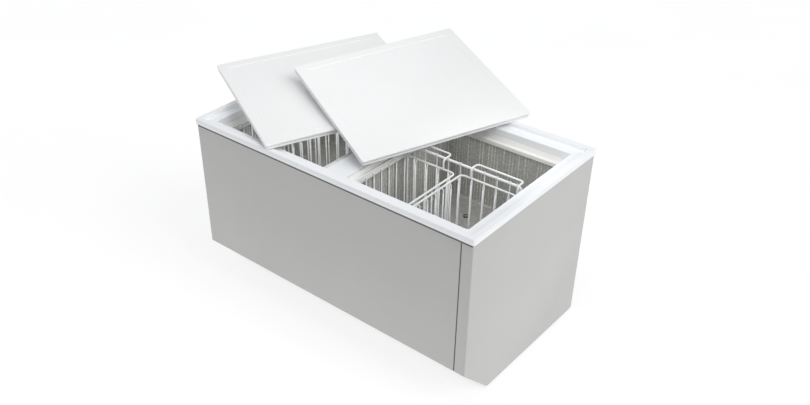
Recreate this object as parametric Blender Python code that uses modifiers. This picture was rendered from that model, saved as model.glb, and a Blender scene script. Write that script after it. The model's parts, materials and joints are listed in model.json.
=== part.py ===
"""Ice cream storage and dipping cabinet with two lift-off lids and wire baskets.

The frame is metres, +Z up.  The origin is on the floor under the middle of the
cabinet: X runs along its length, the front faces -Y.
"""
import math

import bmesh
import bpy
from mathutils import Euler, Matrix, Vector

# ----------------------------------------------------------------------------
# Driving dimensions, in metres
# ----------------------------------------------------------------------------
LENGTH = 1.220              # over the rim, along X
DEPTH = 0.708               # over the rim, along Y
HEIGHT = 0.678              # floor to the top of the rim
GAP = 0.0003                # clearance left between touching pieces

HALF_X = LENGTH / 2
HALF_Y = DEPTH / 2

RIM_LIP = 0.0205            # height of the outer lip of the rim
RIM_TOP = 0.022             # width of the flat top of the rim
SEAT_DROP = 0.014           # the lids' seat lies this far under the rim's top
RIM_FRONT = 0.053           # outside of the rim to the throat, at the front
RIM_SIDE = 0.059            # the same at both ends
RIM_BACK = 0.066            # the same at the back
THROAT_DROP = 0.040         # underside of the rim at the throat
OVERHANG = 0.005            # the rim stands proud of the panels by this much

SHEET = 0.0015              # steel sheet
BODY_X = HALF_X - OVERHANG
BODY_Y = HALF_Y - OVERHANG
PANEL_TOP = HEIGHT - 0.0245
PANEL_FOOT = 0.005          # shadow gap under the side and back panels
UNDERCUT = 0.142            # 45 degree undercut below the front panel
FRONT_FOOT = PANEL_FOOT + UNDERCUT
FLANGE = 0.042              # front flange of the right side panel

TANK_X0 = 0.074             # opening inside the ledge, from the middle outward
TANK_X1 = HALF_X - 0.087
TANK_Y = HALF_Y - 0.087
LEDGE_Z = HEIGHT - 0.057    # basket ledge
LEDGE_FOOT = HEIGHT - 0.0715
COLLAR = 0.0025             # collar wall thickness
BRIDGE_HALF = 0.0495        # half width of the bridge between the tanks
TANK_FLOOR = 0.348
LINER = 0.0015
LINER_RADIUS = 0.009
FOAM_FLOOR = 0.287
FOAM_X0 = 0.0455            # half thickness of the wall between the tanks

DRAIN_X = 0.2355
DRAIN_Y = 0.165
DRAIN_BORE = 0.0055

LID_X = 0.5575              # lid size, short side
LID_Y = 0.666               # lid size, long side
LID_BORDER = 0.035
LID_STACK = 0.021           # whole thickness
# resting place of each lid: centre of its top face, tilt about X, tilt about Y, turn
LID_PLACES = {
    "lid_left": ((-0.3405, 0.0572, 0.7435), 4.34, 6.53, -24.94),
    "lid_right": ((-0.0547, 0.1935, 0.7563), 6.70, 12.01, -21.19),
}

BASKET_RIM_Z = 0.6249       # centre height of a basket's rim
BASKET_FLOOR = 0.353
BASKET_Y0 = -0.275
# label, rim from X to X, handle from X to X, back of the rim
BASKETS = (("a", 0.066, 0.298, 0.078, 0.246, -0.003), ("b", 0.309, 0.532, 0.350, 0.528, 0.007))
BASKET_INSET = 0.0095       # the tub hangs inside the rim by this much
RIM_WIRE = 0.007
WIRE = 0.005
WIRE_PITCH = 0.049
HANDLE_WIRE = 0.0030        # radius of the handle's wire
HANDLE_TOP = 0.6622         # the handle passes over the divider's rail
HANDLE_BACK = 0.0385
HANDLE_BEND = 0.010

DIVIDER_Y = 0.0165
DIVIDER_TOP = 0.6575
DIVIDER_FIRST = 0.107       # first upright wire of the right divider
DIVIDER_STEP = 0.0481
DIVIDER_WIRES = 9

FAN_X = 0.42
FAN_Z = 0.130
FAN_RADIUS = 0.078

# ----------------------------------------------------------------------------
# Materials: base colour, roughness, metallic
# ----------------------------------------------------------------------------
MATERIALS = {
    "painted_steel": ((0.52, 0.53, 0.51), 0.42, 0.0),
    "rim_plastic": ((0.88, 0.89, 0.90), 0.32, 0.0),
    "collar_plastic": ((0.80, 0.80, 0.77), 0.40, 0.0),
    "liner_metal": ((0.20, 0.20, 0.19), 0.38, 0.7),
    "lid_plastic": ((0.93, 0.93, 0.93), 0.34, 0.0),
    "lid_core_grey": ((0.55, 0.56, 0.55), 0.55, 0.0),
    "coated_wire": ((0.90, 0.91, 0.91), 0.30, 0.0),
    "foam": ((0.80, 0.70, 0.45), 0.90, 0.0),
    "galvanised": ((0.45, 0.47, 0.48), 0.45, 0.8),
    "copper_tube": ((0.60, 0.30, 0.18), 0.35, 1.0),
    "black_enamel": ((0.02, 0.02, 0.02), 0.35, 0.0),
    "fin_aluminium": ((0.55, 0.56, 0.57), 0.40, 1.0),
    "black_plastic": ((0.03, 0.03, 0.03), 0.50, 0.0),
    "drain_grey": ((0.30, 0.31, 0.31), 0.45, 0.0),
}

PARTS = None
CUTTERS = None


# ----------------------------------------------------------------------------
# Helpers
# ----------------------------------------------------------------------------
def clear_scene():
    for ob in list(bpy.data.objects):
        bpy.data.objects.remove(ob, do_unlink=True)


def make_materials():
    for name, (colour, roughness, metallic) in MATERIALS.items():
        mat = bpy.data.materials.new(name)
        mat.use_nodes = True
        shader = mat.node_tree.nodes["Principled BSDF"]
        shader.inputs["Base Color"].default_value = (*colour, 1.0)
        shader.inputs["Roughness"].default_value = roughness
        shader.inputs["Metallic"].default_value = metallic
        mat.diffuse_color = (*colour, 1.0)


def add_object(name, data, material=None, parent=None, cutter=False):
    ob = bpy.data.objects.new(name, data)
    (CUTTERS if cutter else PARTS).objects.link(ob)
    if material:
        data.materials.clear()
        data.materials.append(bpy.data.materials[material])
    if cutter:
        ob.hide_render = True
        ob.display_type = "WIRE"
    ob.parent = parent
    return ob


def box_mesh(name, lo, hi, centre=(0, 0, 0)):
    """A cuboid between two corners, its mesh measured from centre."""
    bm = bmesh.new()
    bmesh.ops.create_cube(bm, size=1.0)
    size = [b - a for a, b in zip(lo, hi)]
    mid = [(a + b) / 2 - c for a, b, c in zip(lo, hi, centre)]
    bmesh.ops.scale(bm, vec=size, verts=bm.verts)
    bmesh.ops.translate(bm, vec=mid, verts=bm.verts)
    mesh = bpy.data.meshes.new(name)
    bm.to_mesh(mesh)
    bm.free()
    return mesh


def box(name, lo, hi, material=None, parent=None, cutter=False, centre=(0, 0, 0)):
    ob = add_object(name, box_mesh(name, lo, hi, centre), material, parent, cutter)
    ob.location = centre
    return ob


def boxes(name, corners, centre=(0, 0, 0)):
    """One cutter made of several cuboids that stand clear of each other."""
    bm = bmesh.new()
    for lo, hi in corners:
        made = bmesh.ops.create_cube(bm, size=1.0)["verts"]
        bmesh.ops.scale(bm, vec=[b - a for a, b in zip(lo, hi)], verts=made)
        shift = [(a + b) / 2 - c for a, b, c in zip(lo, hi, centre)]
        bmesh.ops.translate(bm, vec=shift, verts=made)
    mesh = bpy.data.meshes.new(name)
    bm.to_mesh(mesh)
    bm.free()
    ob = add_object(name, mesh, cutter=True)
    ob.location = centre
    return ob


def boolean(ob, other, operation="DIFFERENCE"):
    mod = ob.modifiers.new(operation.lower() + "_" + other.name, "BOOLEAN")
    mod.operation = operation
    mod.solver = "EXACT"
    mod.object = other


def bevel(ob, width, segments=2, angle=40.0):
    mod = ob.modifiers.new("rounded_edges", "BEVEL")
    mod.width = width
    mod.segments = segments
    mod.limit_method = "ANGLE"
    mod.angle_limit = math.radians(angle)
    mod.use_clamp_overlap = True


def evaluated_mesh(ob, name):
    graph = bpy.context.evaluated_depsgraph_get()
    graph.update()
    return bpy.data.meshes.new_from_object(ob.evaluated_get(graph))


def to_mesh_object(ob, material=None, cutter=False):
    """Replace a curve or a modified object by the mesh that it evaluates to."""
    name = ob.name
    parent = ob.parent
    place = ob.matrix_world.copy()
    mesh = evaluated_mesh(ob, name)
    bm = bmesh.new()
    bm.from_mesh(mesh)
    bmesh.ops.remove_doubles(bm, verts=bm.verts, dist=0.00001)
    bmesh.ops.recalc_face_normals(bm, faces=bm.faces)
    bm.to_mesh(mesh)
    bm.free()
    bpy.data.objects.remove(ob, do_unlink=True)
    mesh.name = name
    new = add_object(name, mesh, material, parent, cutter)
    new.matrix_world = place
    return new


def flat_curve(name, outline, half):
    """A filled outline in its local XY, as thick as twice half along local Z."""
    curve = bpy.data.curves.new(name, "CURVE")
    curve.dimensions = "2D"
    curve.fill_mode = "BOTH"
    curve.extrude = half
    spline = curve.splines.new("POLY")
    spline.points.add(len(outline) - 1)
    for point, (u, v) in zip(spline.points, outline):
        point.co = (u, v, 0.0, 1.0)
    spline.use_cyclic_u = True
    return curve


def prism(name, outline, half, material, place=None, cutter=False):
    """An outline extruded along local Z, then carried by place."""
    ob = add_object(name, flat_curve(name, outline, half), material, cutter=cutter)
    ob = to_mesh_object(ob, material, cutter)
    if place is not None:
        ob.data.transform(place)
    return ob


def remap(ob, rule):
    for vert in ob.data.vertices:
        vert.co = rule(vert.co)
    bm = bmesh.new()
    bm.from_mesh(ob.data)
    bmesh.ops.recalc_face_normals(bm, faces=bm.faces)
    bm.to_mesh(ob.data)
    bm.free()


def rounded(corner, before, after, radius, steps=3):
    """Points of a fillet at corner, between the directions to before and after."""
    c = Vector(corner)
    a = (Vector(before) - c).normalized()
    b = (Vector(after) - c).normalized()
    half = a.angle(b) / 2
    reach = radius / math.tan(half)
    middle = c + (a + b).normalized() * radius / math.sin(half)
    start = c + a * reach
    end = c + b * reach
    points = []
    for i in range(steps + 1):
        mix = start.lerp(end, i / steps) - middle
        points.append(tuple(middle + mix.normalized() * radius))
    return points


def thick_line(points, thickness):
    """A closed outline: the polyline, and its copy moved left by thickness."""
    pts = [Vector(p) for p in points]
    normals = []
    for a, b in zip(pts, pts[1:]):
        d = (b - a).normalized()
        normals.append(Vector((-d.y, d.x)))
    offset = []
    for i, p in enumerate(pts):
        if i == 0:
            offset.append(p + normals[0] * thickness)
        elif i == len(pts) - 1:
            offset.append(p + normals[-1] * thickness)
        else:
            n = (normals[i - 1] + normals[i]).normalized()
            offset.append(p + n * thickness / n.dot(normals[i]))
    return [tuple(p) for p in pts] + [tuple(p) for p in reversed(offset)]


def tube(name, points, radius, material, parent=None, closed=False):
    curve = bpy.data.curves.new(name, "CURVE")
    curve.dimensions = "3D"
    curve.bevel_depth = radius
    curve.bevel_resolution = 2
    curve.use_fill_caps = True
    spline = curve.splines.new("POLY")
    spline.points.add(len(points) - 1)
    for point, co in zip(spline.points, points):
        point.co = (*co, 1.0)
    spline.use_cyclic_u = closed
    return add_object(name, curve, material, parent)


def turned(name, profile, material, steps=24, location=(0, 0, 0), cutter=False):
    """A profile of (radius, height) points turned round the local Z axis."""
    bm = bmesh.new()
    verts = [bm.verts.new((r, 0.0, z)) for r, z in profile]
    for a, b in zip(verts, verts[1:]):
        bm.edges.new((a, b))
    if profile[0][0] > 1e-6:
        bm.edges.new((verts[-1], verts[0]))
    mesh = bpy.data.meshes.new(name)
    bm.to_mesh(mesh)
    bm.free()
    ob = add_object(name, mesh, material, cutter=cutter)
    mod = ob.modifiers.new("turn", "SCREW")
    mod.steps = steps
    mod.render_steps = steps
    mod.use_merge_vertices = True
    mod.merge_threshold = 0.00001
    ob = to_mesh_object(ob, material, cutter)
    ob.location = location
    ob.data.shade_smooth()
    ob.data.set_sharp_from_angle(angle=math.radians(35))
    return ob


def rod(name, radius, lo, hi, location, axis="Z", segments=24, cutter=True, material=None):
    """A round bar from lo to hi along an axis through location."""
    bm = bmesh.new()
    bmesh.ops.create_cone(
        bm, cap_ends=True, segments=segments, radius1=radius, radius2=radius, depth=hi - lo)
    bmesh.ops.translate(bm, vec=(0, 0, (lo + hi) / 2), verts=bm.verts)
    if axis == "Y":
        bmesh.ops.rotate(bm, matrix=Matrix.Rotation(math.radians(-90), 3, "X"), verts=bm.verts)
    mesh = bpy.data.meshes.new(name)
    bm.to_mesh(mesh)
    bm.free()
    ob = add_object(name, mesh, material, cutter=cutter)
    ob.location = location
    return ob


# ----------------------------------------------------------------------------
# Outer panels and base
# ----------------------------------------------------------------------------
def undercut_wedge(name):
    """Everything in front of and below the 45 degree line of the undercut."""
    far = 0.020
    outline = [
        (-BODY_Y - far, FRONT_FOOT + far),
        (-BODY_Y + FRONT_FOOT + far, -far),
        (-BODY_Y - far, -far),
    ]
    stand = Matrix(((0, 0, 1, 0), (1, 0, 0, 0), (0, 1, 0, 0), (0, 0, 0, 1)))
    return prism(name, outline, HALF_X + 0.05, None, stand, cutter=True)


def build_panels():
    mid = (FRONT_FOOT + PANEL_TOP) / 2
    up = (PANEL_TOP - FRONT_FOOT) / 2
    wrap = 0.014
    seam = BODY_X - FLANGE

    front = thick_line(
        [(-BODY_X, -BODY_Y + wrap), (-BODY_X, -BODY_Y), (seam - 0.0008, -BODY_Y)], SHEET)
    ob = prism("front_panel", front, up, "painted_steel", Matrix.Translation((0, 0, mid)))
    bevel(ob, 0.0004, 1)

    mid = (PANEL_FOOT + PANEL_TOP) / 2
    up = (PANEL_TOP - PANEL_FOOT) / 2
    side = thick_line([(seam, -BODY_Y), (BODY_X, -BODY_Y), (BODY_X, BODY_Y)], SHEET)
    right = prism("right_side_panel", side, up, "painted_steel", Matrix.Translation((0, 0, mid)))
    side = thick_line([(-BODY_X, BODY_Y), (-BODY_X, -BODY_Y + wrap + GAP)], SHEET)
    left = prism("left_side_panel", side, up, "painted_steel", Matrix.Translation((0, 0, mid)))
    wedge = undercut_wedge("cut_undercut")
    for ob in (right, left):
        boolean(ob, wedge)

    inner = BODY_X - SHEET - GAP
    back = box(
        "back_panel", (-inner, BODY_Y - SHEET, PANEL_FOOT), (inner, BODY_Y, PANEL_TOP),
        "painted_steel")
    slots = []
    for side in (-1, 1):
        for i in range(8):
            z = 0.045 + i * 0.024
            slots.append(((side * FAN_X - 0.11, 0.3, z), (side * FAN_X + 0.11, 0.4, z + 0.009)))
    boolean(back, boxes("cut_louvres", slots))

    # sloping lower front, set back a little from the side panels' cut edges
    set_back = 0.003 / math.sqrt(2)
    top = (-BODY_Y + set_back + 0.0035, FRONT_FOOT + set_back - 0.0035)
    foot = (-BODY_Y + FRONT_FOOT - 0.011 + set_back, 0.011 + set_back)
    slope = thick_line([(top[0] + 0.014, top[1]), top, foot], SHEET)
    stand = Matrix(((0, 0, 1, 0), (1, 0, 0, 0), (0, 1, 0, 0), (0, 0, 0, 1)))
    prism("undercut_panel", slope, inner, "painted_steel", stand)


def build_base():
    front = -BODY_Y + FRONT_FOOT + 0.0015
    back = BODY_Y - SHEET - 0.002
    side = BODY_X - SHEET - 0.001
    pan = box("base_pan", (-side, front, 0.0), (side, back, 0.040), "black_enamel")
    wall = 0.002
    boolean(pan, boxes("cut_base_pan", [
        ((-side + wall, front + wall, wall), (side - wall, back - wall, 0.060))]))
    for sign in (-1, 1):
        hole = rod("cut_base_drain_%d" % sign, 0.013, -0.01, 0.02, (sign * DRAIN_X, DRAIN_Y, 0))
        boolean(pan, hole)

    shelf = box(
        "support_shelf", (-side, -BODY_Y + 0.008, FOAM_FLOOR - 0.0223),
        (side, back, FOAM_FLOOR - GAP), "galvanised")
    boolean(shelf, boxes("cut_shelf", [
        ((-side + wall, -BODY_Y + 0.010, FOAM_FLOOR - 0.030),
         (side - wall, back - wall, FOAM_FLOOR - 0.0023))]))
    for sign in (-1, 1):
        hole = rod("cut_shelf_drain_%d" % sign, 0.013, 0.25, 0.30, (sign * DRAIN_X, DRAIN_Y, 0))
        boolean(shelf, hole)


# ----------------------------------------------------------------------------
# Insulation, tanks, collars
# ----------------------------------------------------------------------------
def tank_spans():
    return (("left", -1), ("right", 1))


def mirror_span(sign, x0, x1):
    return (x0, x1) if sign > 0 else (-x1, -x0)


def build_foam():
    side = BODY_X - 0.002
    front = BODY_Y - 0.002
    foam = box("foam_insulation", (-side, -front, FOAM_FLOOR),
               (side, front, HEIGHT - THROAT_DROP - GAP), "foam")
    near = HALF_Y - RIM_FRONT + 0.004
    far = HALF_Y - RIM_BACK + 0.004
    holes = []
    for _, sign in tank_spans():
        x0, x1 = mirror_span(sign, FOAM_X0, HALF_X - RIM_SIDE + 0.004)
        holes.append(((x0, -near, TANK_FLOOR - LINER - GAP), (x1, far, HEIGHT)))
    boolean(foam, boxes("cut_foam_tanks", holes))
    boolean(foam, boxes("cut_foam_bridge", [
        ((-0.060, -near, HEIGHT - THROAT_DROP - 0.0043), (0.060, far, HEIGHT))]))
    for sign in (-1, 1):
        hole = rod("cut_foam_drain_%d" % sign, 0.0115, 0.25, 0.40, (sign * DRAIN_X, DRAIN_Y, 0))
        boolean(foam, hole)


def build_liner(label, sign):
    back_off = 0.0028
    x0, x1 = mirror_span(sign, TANK_X0 - back_off, TANK_X1 + back_off)
    y1 = TANK_Y + back_off
    top = LEDGE_Z - COLLAR - GAP
    mesh = box_mesh("tank_liner_" + label, (x0, -y1, TANK_FLOOR), (x1, y1, top))
    bm = bmesh.new()
    bm.from_mesh(mesh)
    lid = [f for f in bm.faces if f.normal.z > 0.5]
    bmesh.ops.delete(bm, geom=lid, context="FACES_ONLY")
    low = [e for e in bm.edges if max(v.co.z for v in e.verts) < TANK_FLOOR + 0.001]
    bmesh.ops.bevel(bm, geom=low, offset=LINER_RADIUS, segments=3, profile=0.5, affect="EDGES")
    bm.to_mesh(mesh)
    bm.free()
    ob = add_object("tank_liner_" + label, mesh, "liner_metal")
    shell = ob.modifiers.new("sheet", "SOLIDIFY")
    shell.thickness = LINER
    shell.offset = 1.0
    shell.use_even_offset = True
    hole = rod("cut_liner_drain_" + label, 0.0081, 0.30, 0.40, (sign * DRAIN_X, DRAIN_Y, 0))
    boolean(ob, hole)


def square_ring(name, section, x0, x1, y0, y1, material):
    """A mitred frame: a section turned in four steps, then spread to a rectangle.

    section holds (r, z) points, r measured outward from the rectangle.
    """
    core = 0.05
    root = math.sqrt(2)
    ob = turned(name, [((core + r) * root, z) for r, z in section], material, steps=4)
    ob.data.transform(Matrix.Rotation(math.radians(45), 4, "Z"))
    mid = Vector(((x0 + x1) / 2, (y0 + y1) / 2, 0))
    reach_x = (x1 - x0) / 2 - core
    reach_y = (y1 - y0) / 2 - core

    def spread(co):
        x = co.x + math.copysign(reach_x, co.x)
        y = co.y + math.copysign(reach_y, co.y)
        return Vector((x, y, co.z)) + mid

    remap(ob, spread)
    ob.data.shade_flat()
    return ob


def build_collar(label, sign):
    """Sloping throat wall, basket ledge and its drip edge, all in one moulding."""
    x0, x1 = mirror_span(sign, TANK_X0, TANK_X1)
    top = HEIGHT - THROAT_DROP - GAP
    ledge = 0.013
    reach = 0.020
    c = COLLAR
    inside = [(0.0, LEDGE_FOOT), (0.0, LEDGE_Z), (ledge, LEDGE_Z), (reach, top)]
    outside = [(c, LEDGE_FOOT), (c, LEDGE_Z - c), (ledge + c, LEDGE_Z - c), (reach + c, top)]
    section = list(reversed(outside)) + inside
    ob = square_ring("collar_" + label, section, x0, x1, -TANK_Y, TANK_Y, "collar_plastic")
    # each wall slopes on its own, to meet the rim or the bridge above it
    bridge = TANK_X0 - BRIDGE_HALF
    end = HALF_X - RIM_SIDE - TANK_X1
    front = HALF_Y - RIM_FRONT - TANK_Y
    back = HALF_Y - RIM_BACK - TANK_Y

    def slope(out, widest):
        if out < ledge + c / 2:
            return out
        rise = min((out - ledge) / (reach - ledge), 1.0)
        extra = max(out - reach, 0.0)
        return ledge + rise * (widest - ledge) + extra

    def lean(co):
        x = sign * co.x
        y = co.y
        if x > (TANK_X0 + TANK_X1) / 2:
            x = TANK_X1 + slope(x - TANK_X1, end)
        else:
            x = TANK_X0 - slope(TANK_X0 - x, bridge)
        if y > 0.0:
            y = TANK_Y + slope(y - TANK_Y, back)
        else:
            y = -TANK_Y - slope(-TANK_Y - y, front)
        return Vector((sign * x, y, co.z))

    remap(ob, lean)


def build_rim():
    """Four mitred lengths of one section, each with its own width of seat."""
    top = HEIGHT
    mitre = 0.00015

    def section(width):
        face = rounded((0.0, top), (0.0, top - 0.02), (0.02, top), 0.0035, 3)
        nose = rounded((RIM_TOP, top), (0.0, top), (RIM_TOP, top - 0.01), 0.0015, 2)
        heel = rounded((width, top - SEAT_DROP), (0.03, top - SEAT_DROP),
                       (width, top - 0.02), 0.0015, 2)
        return face + nose + [(RIM_TOP, top - SEAT_DROP)] + heel + [
            (width, top - THROAT_DROP),
            (0.009, top - THROAT_DROP),
            (0.009, top - RIM_LIP),
            (0.0, top - RIM_LIP),
        ]

    def lay(half_long, half_wide, turn, width, neighbours):
        spin = Matrix.Rotation(math.radians(turn), 4, "Z")

        def rule(co):
            neighbour = neighbours[0] if co.z < 0.0 else neighbours[1]
            back_off = co.x
            if co.x > RIM_TOP:
                ratio = (neighbour - RIM_TOP) / (width - RIM_TOP)
                back_off = RIM_TOP + (co.x - RIM_TOP) * ratio
            along = math.copysign(half_long - back_off - mitre, co.z)
            return spin @ Vector((along, -(half_wide - co.x), co.y))
        return rule

    ends = (RIM_SIDE, RIM_SIDE)
    for name, a, b, turn, width, neighbours in (
            ("rim_front", HALF_X, HALF_Y, 0, RIM_FRONT, ends),
            ("rim_right", HALF_Y, HALF_X, 90, RIM_SIDE, (RIM_FRONT, RIM_BACK)),
            ("rim_back", HALF_X, HALF_Y, 180, RIM_BACK, ends),
            ("rim_left", HALF_Y, HALF_X, 270, RIM_SIDE, (RIM_BACK, RIM_FRONT))):
        ob = prism(name, section(width), 0.5, "rim_plastic")
        remap(ob, lay(a, b, turn, width, neighbours))

    half = BRIDGE_HALF - COLLAR - GAP
    z = HEIGHT - THROAT_DROP
    cap = box(
        "bridge_cap", (-half, -(HALF_Y - RIM_FRONT - GAP), z - 0.004),
        (half, HALF_Y - RIM_BACK - GAP, z), "rim_plastic")
    bevel(cap, 0.0008, 1)


def build_coil(label, sign):
    """Evaporator tube wound square round the tank, one long rising loop."""
    clear = 0.0028 + LINER + 0.009
    x0, x1 = mirror_span(sign, TANK_X0 - clear, TANK_X1 + clear)
    y1 = TANK_Y + clear
    corners = [(x0, -y1), (x1, -y1), (x1, y1), (x0, y1)]
    pitch = 0.050
    turns = 4
    points = []
    for i in range(turns * 4 + 1):
        x, y = corners[i % 4]
        points.append((x, y, 0.385 + pitch * i / 4))
    tube("evaporator_coil_" + label, points, 0.0045, "copper_tube")


def build_drain(label, sign):
    place = (sign * DRAIN_X, DRAIN_Y, 0.0)
    top = TANK_FLOOR + 0.0025
    profile = [
        (DRAIN_BORE + 0.001, top), (0.0105, top), (0.0112, TANK_FLOOR + GAP),
        (0.0077, TANK_FLOOR + GAP), (0.0077, 0.300), (DRAIN_BORE, 0.300),
        (DRAIN_BORE, top - 0.001),
    ]
    turned("drain_fitting_" + label, profile, "drain_grey", 20, place)
    low = 0.004
    profile = [(0.0105, 0.335), (0.0105, low), (0.0081, low), (0.0081, 0.335)]
    turned("drain_tube_" + label, profile, "drain_grey", 20, place)


# ----------------------------------------------------------------------------
# Refrigeration in the base
# ----------------------------------------------------------------------------
def build_machinery():
    centre = (-0.36, 0.10, 0.0)
    r = 0.082
    dome = [(0.0, 0.205), (0.035, 0.203), (0.062, 0.193), (0.078, 0.172), (r, 0.145)]
    bowl = [(r, 0.060), (0.078, 0.040), (0.066, 0.026), (0.050, 0.020), (0.0, 0.020)]
    can = turned("compressor", dome + bowl, "black_enamel", 24, centre)
    plate = box("join_compressor_feet", (centre[0] - 0.105, centre[1] - 0.07, 0.0125),
                (centre[0] + 0.105, centre[1] + 0.07, 0.024), cutter=True)
    boolean(can, plate, "UNION")
    for i, (dx, dy) in enumerate(((-1, -1), (1, -1), (1, 1), (-1, 1))):
        post = [(0.0, 0.0122), (0.011, 0.0122), (0.014, 0.008), (0.014, 0.0023), (0.0, 0.0023)]
        place = (centre[0] + dx * 0.090, centre[1] + dy * 0.055, 0.0)
        turned("compressor_grommet_%d" % (i + 1), post, "black_plastic", 12, place)

    half = 0.130
    coil = box("condenser_coil", (FAN_X - half, 0.288, 0.0023), (FAN_X + half, 0.338, 0.238),
               "fin_aluminium")
    bevel(coil, 0.002, 1)
    shroud = box("fan_shroud", (FAN_X - half, 0.262, 0.0023), (FAN_X + half, 0.2877, 0.238),
                 "galvanised")
    boolean(shroud, rod("cut_shroud", FAN_RADIUS + 0.006, 0.2, 0.3, (FAN_X, 0, FAN_Z), "Y", 28))
    boolean(shroud, boxes("cut_shroud_back", [
        ((FAN_X - half + 0.002, 0.264, 0.0045), (FAN_X + half - 0.002, 0.30, 0.236))]))

    motor = rod("fan_motor", 0.030, 0.196, 0.236, (FAN_X, 0, FAN_Z), "Y", 20, False, "black_enamel")
    arm = boxes("join_motor_arms", [((FAN_X - 0.120, 0.230, FAN_Z - 0.007),
                                     (FAN_X + 0.120, 0.2335, FAN_Z + 0.007))])
    boolean(motor, arm, "UNION")
    for i, side in enumerate((-1, 1)):
        leg = boxes("join_motor_leg_%d" % i, [((FAN_X + side * 0.112 - 0.008, 0.2315, FAN_Z - 0.007),
                                               (FAN_X + side * 0.112 + 0.008, 0.2617, FAN_Z + 0.007))])
        boolean(motor, leg, "UNION")
    shaft = rod("join_motor_shaft", 0.004, 0.230, 0.2500, (FAN_X, 0, FAN_Z), "Y", 12)
    boolean(motor, shaft, "UNION")

    hub_y = 0.258
    fan = rod("condenser_fan", 0.020, -0.010, 0.010, (FAN_X, hub_y, FAN_Z), "Y", 20, False,
              "black_plastic")
    boolean(fan, rod("cut_fan_bore", 0.0046, -0.03, -0.006, (FAN_X, hub_y, FAN_Z), "Y", 12))
    for i in range(5):
        blade = box("join_blade_%d" % i, (-0.016, -0.001, 0.014), (0.016, 0.001, FAN_RADIUS),
                    cutter=True)
        spin = Matrix.Rotation(math.radians(72 * i), 4, "Y")
        twist = Matrix.Rotation(math.radians(24), 4, "Z")
        blade.matrix_world = Matrix.Translation((FAN_X, hub_y, FAN_Z)) @ spin @ twist
        boolean(fan, blade, "UNION")

    y = BODY_Y + GAP
    plate = box("control_plate", (-0.175, y, 0.085), (-0.085, y + 0.003, 0.165), "black_plastic")
    bevel(plate, 0.001, 1)
    knob = rod("thermostat_knob", 0.0190, 0.0033, 0.0185, (-0.130, y, 0.130), "Y", 24, False,
               "black_plastic")
    grip = box("join_knob_grip", (-0.1325, y + 0.017, 0.1135), (-0.1275, y + 0.0235, 0.1465),
               cutter=True)
    boolean(knob, grip, "UNION")
    inlet = box("power_inlet", (-0.035, y, 0.095), (0.035, y + 0.012, 0.145), "black_plastic")
    boolean(inlet, boxes("cut_inlet", [((-0.0125, y + 0.003, 0.110), (0.0125, y + 0.03, 0.130))]))
    bevel(inlet, 0.0015, 1)


# ----------------------------------------------------------------------------
# Lids
# ----------------------------------------------------------------------------
def build_lid(label):
    place, tilt_x, tilt_y, turn = LID_PLACES[label]
    seat = bpy.data.objects.new(label + "_place", None)
    PARTS.objects.link(seat)
    seat.rotation_mode = "ZXY"
    seat.rotation_euler = Euler((math.radians(tilt_x), math.radians(tilt_y), math.radians(turn)), "ZXY")
    seat.location = place
    hx = LID_X / 2
    hy = LID_Y / 2
    skin = 0.008
    inner_x = hx - LID_BORDER
    inner_y = hy - LID_BORDER
    b = LID_BORDER
    section = [(b - 0.0015, 0.0), (b, -0.0015), (b, -skin), (0.0, -skin), (0.0, -0.0010), (0.001, 0.0)]
    frame = square_ring(label + "_frame", section, -inner_x, inner_x, -inner_y, inner_y, "lid_plastic")
    frame.parent = seat

    def slab(name, inset, top, foot, material, round_by=0.0):
        ob = box(label + name, (-hx + inset, -hy + inset, foot), (hx - inset, hy - inset, top),
                 material, seat)
        if round_by:
            bevel(ob, round_by, 1)

    slab("_panel", b + GAP, -0.0008, -skin, "lid_plastic")
    slab("_core", 0.007, -skin - GAP, -0.0120, "lid_core_grey")
    slab("_base", 0.0025, -0.0120 - GAP, -LID_STACK, "lid_plastic", 0.0015)


# ----------------------------------------------------------------------------
# Baskets and dividers
# ----------------------------------------------------------------------------
def even_gaps(lo, hi, pitch, bar):
    """Clear spans between bars that are spaced evenly from lo to hi."""
    count = max(1, round((hi - lo) / pitch))
    step = (hi - lo) / count
    return [(lo + i * step + bar / 2, lo + (i + 1) * step - bar / 2) for i in range(count)]


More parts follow.
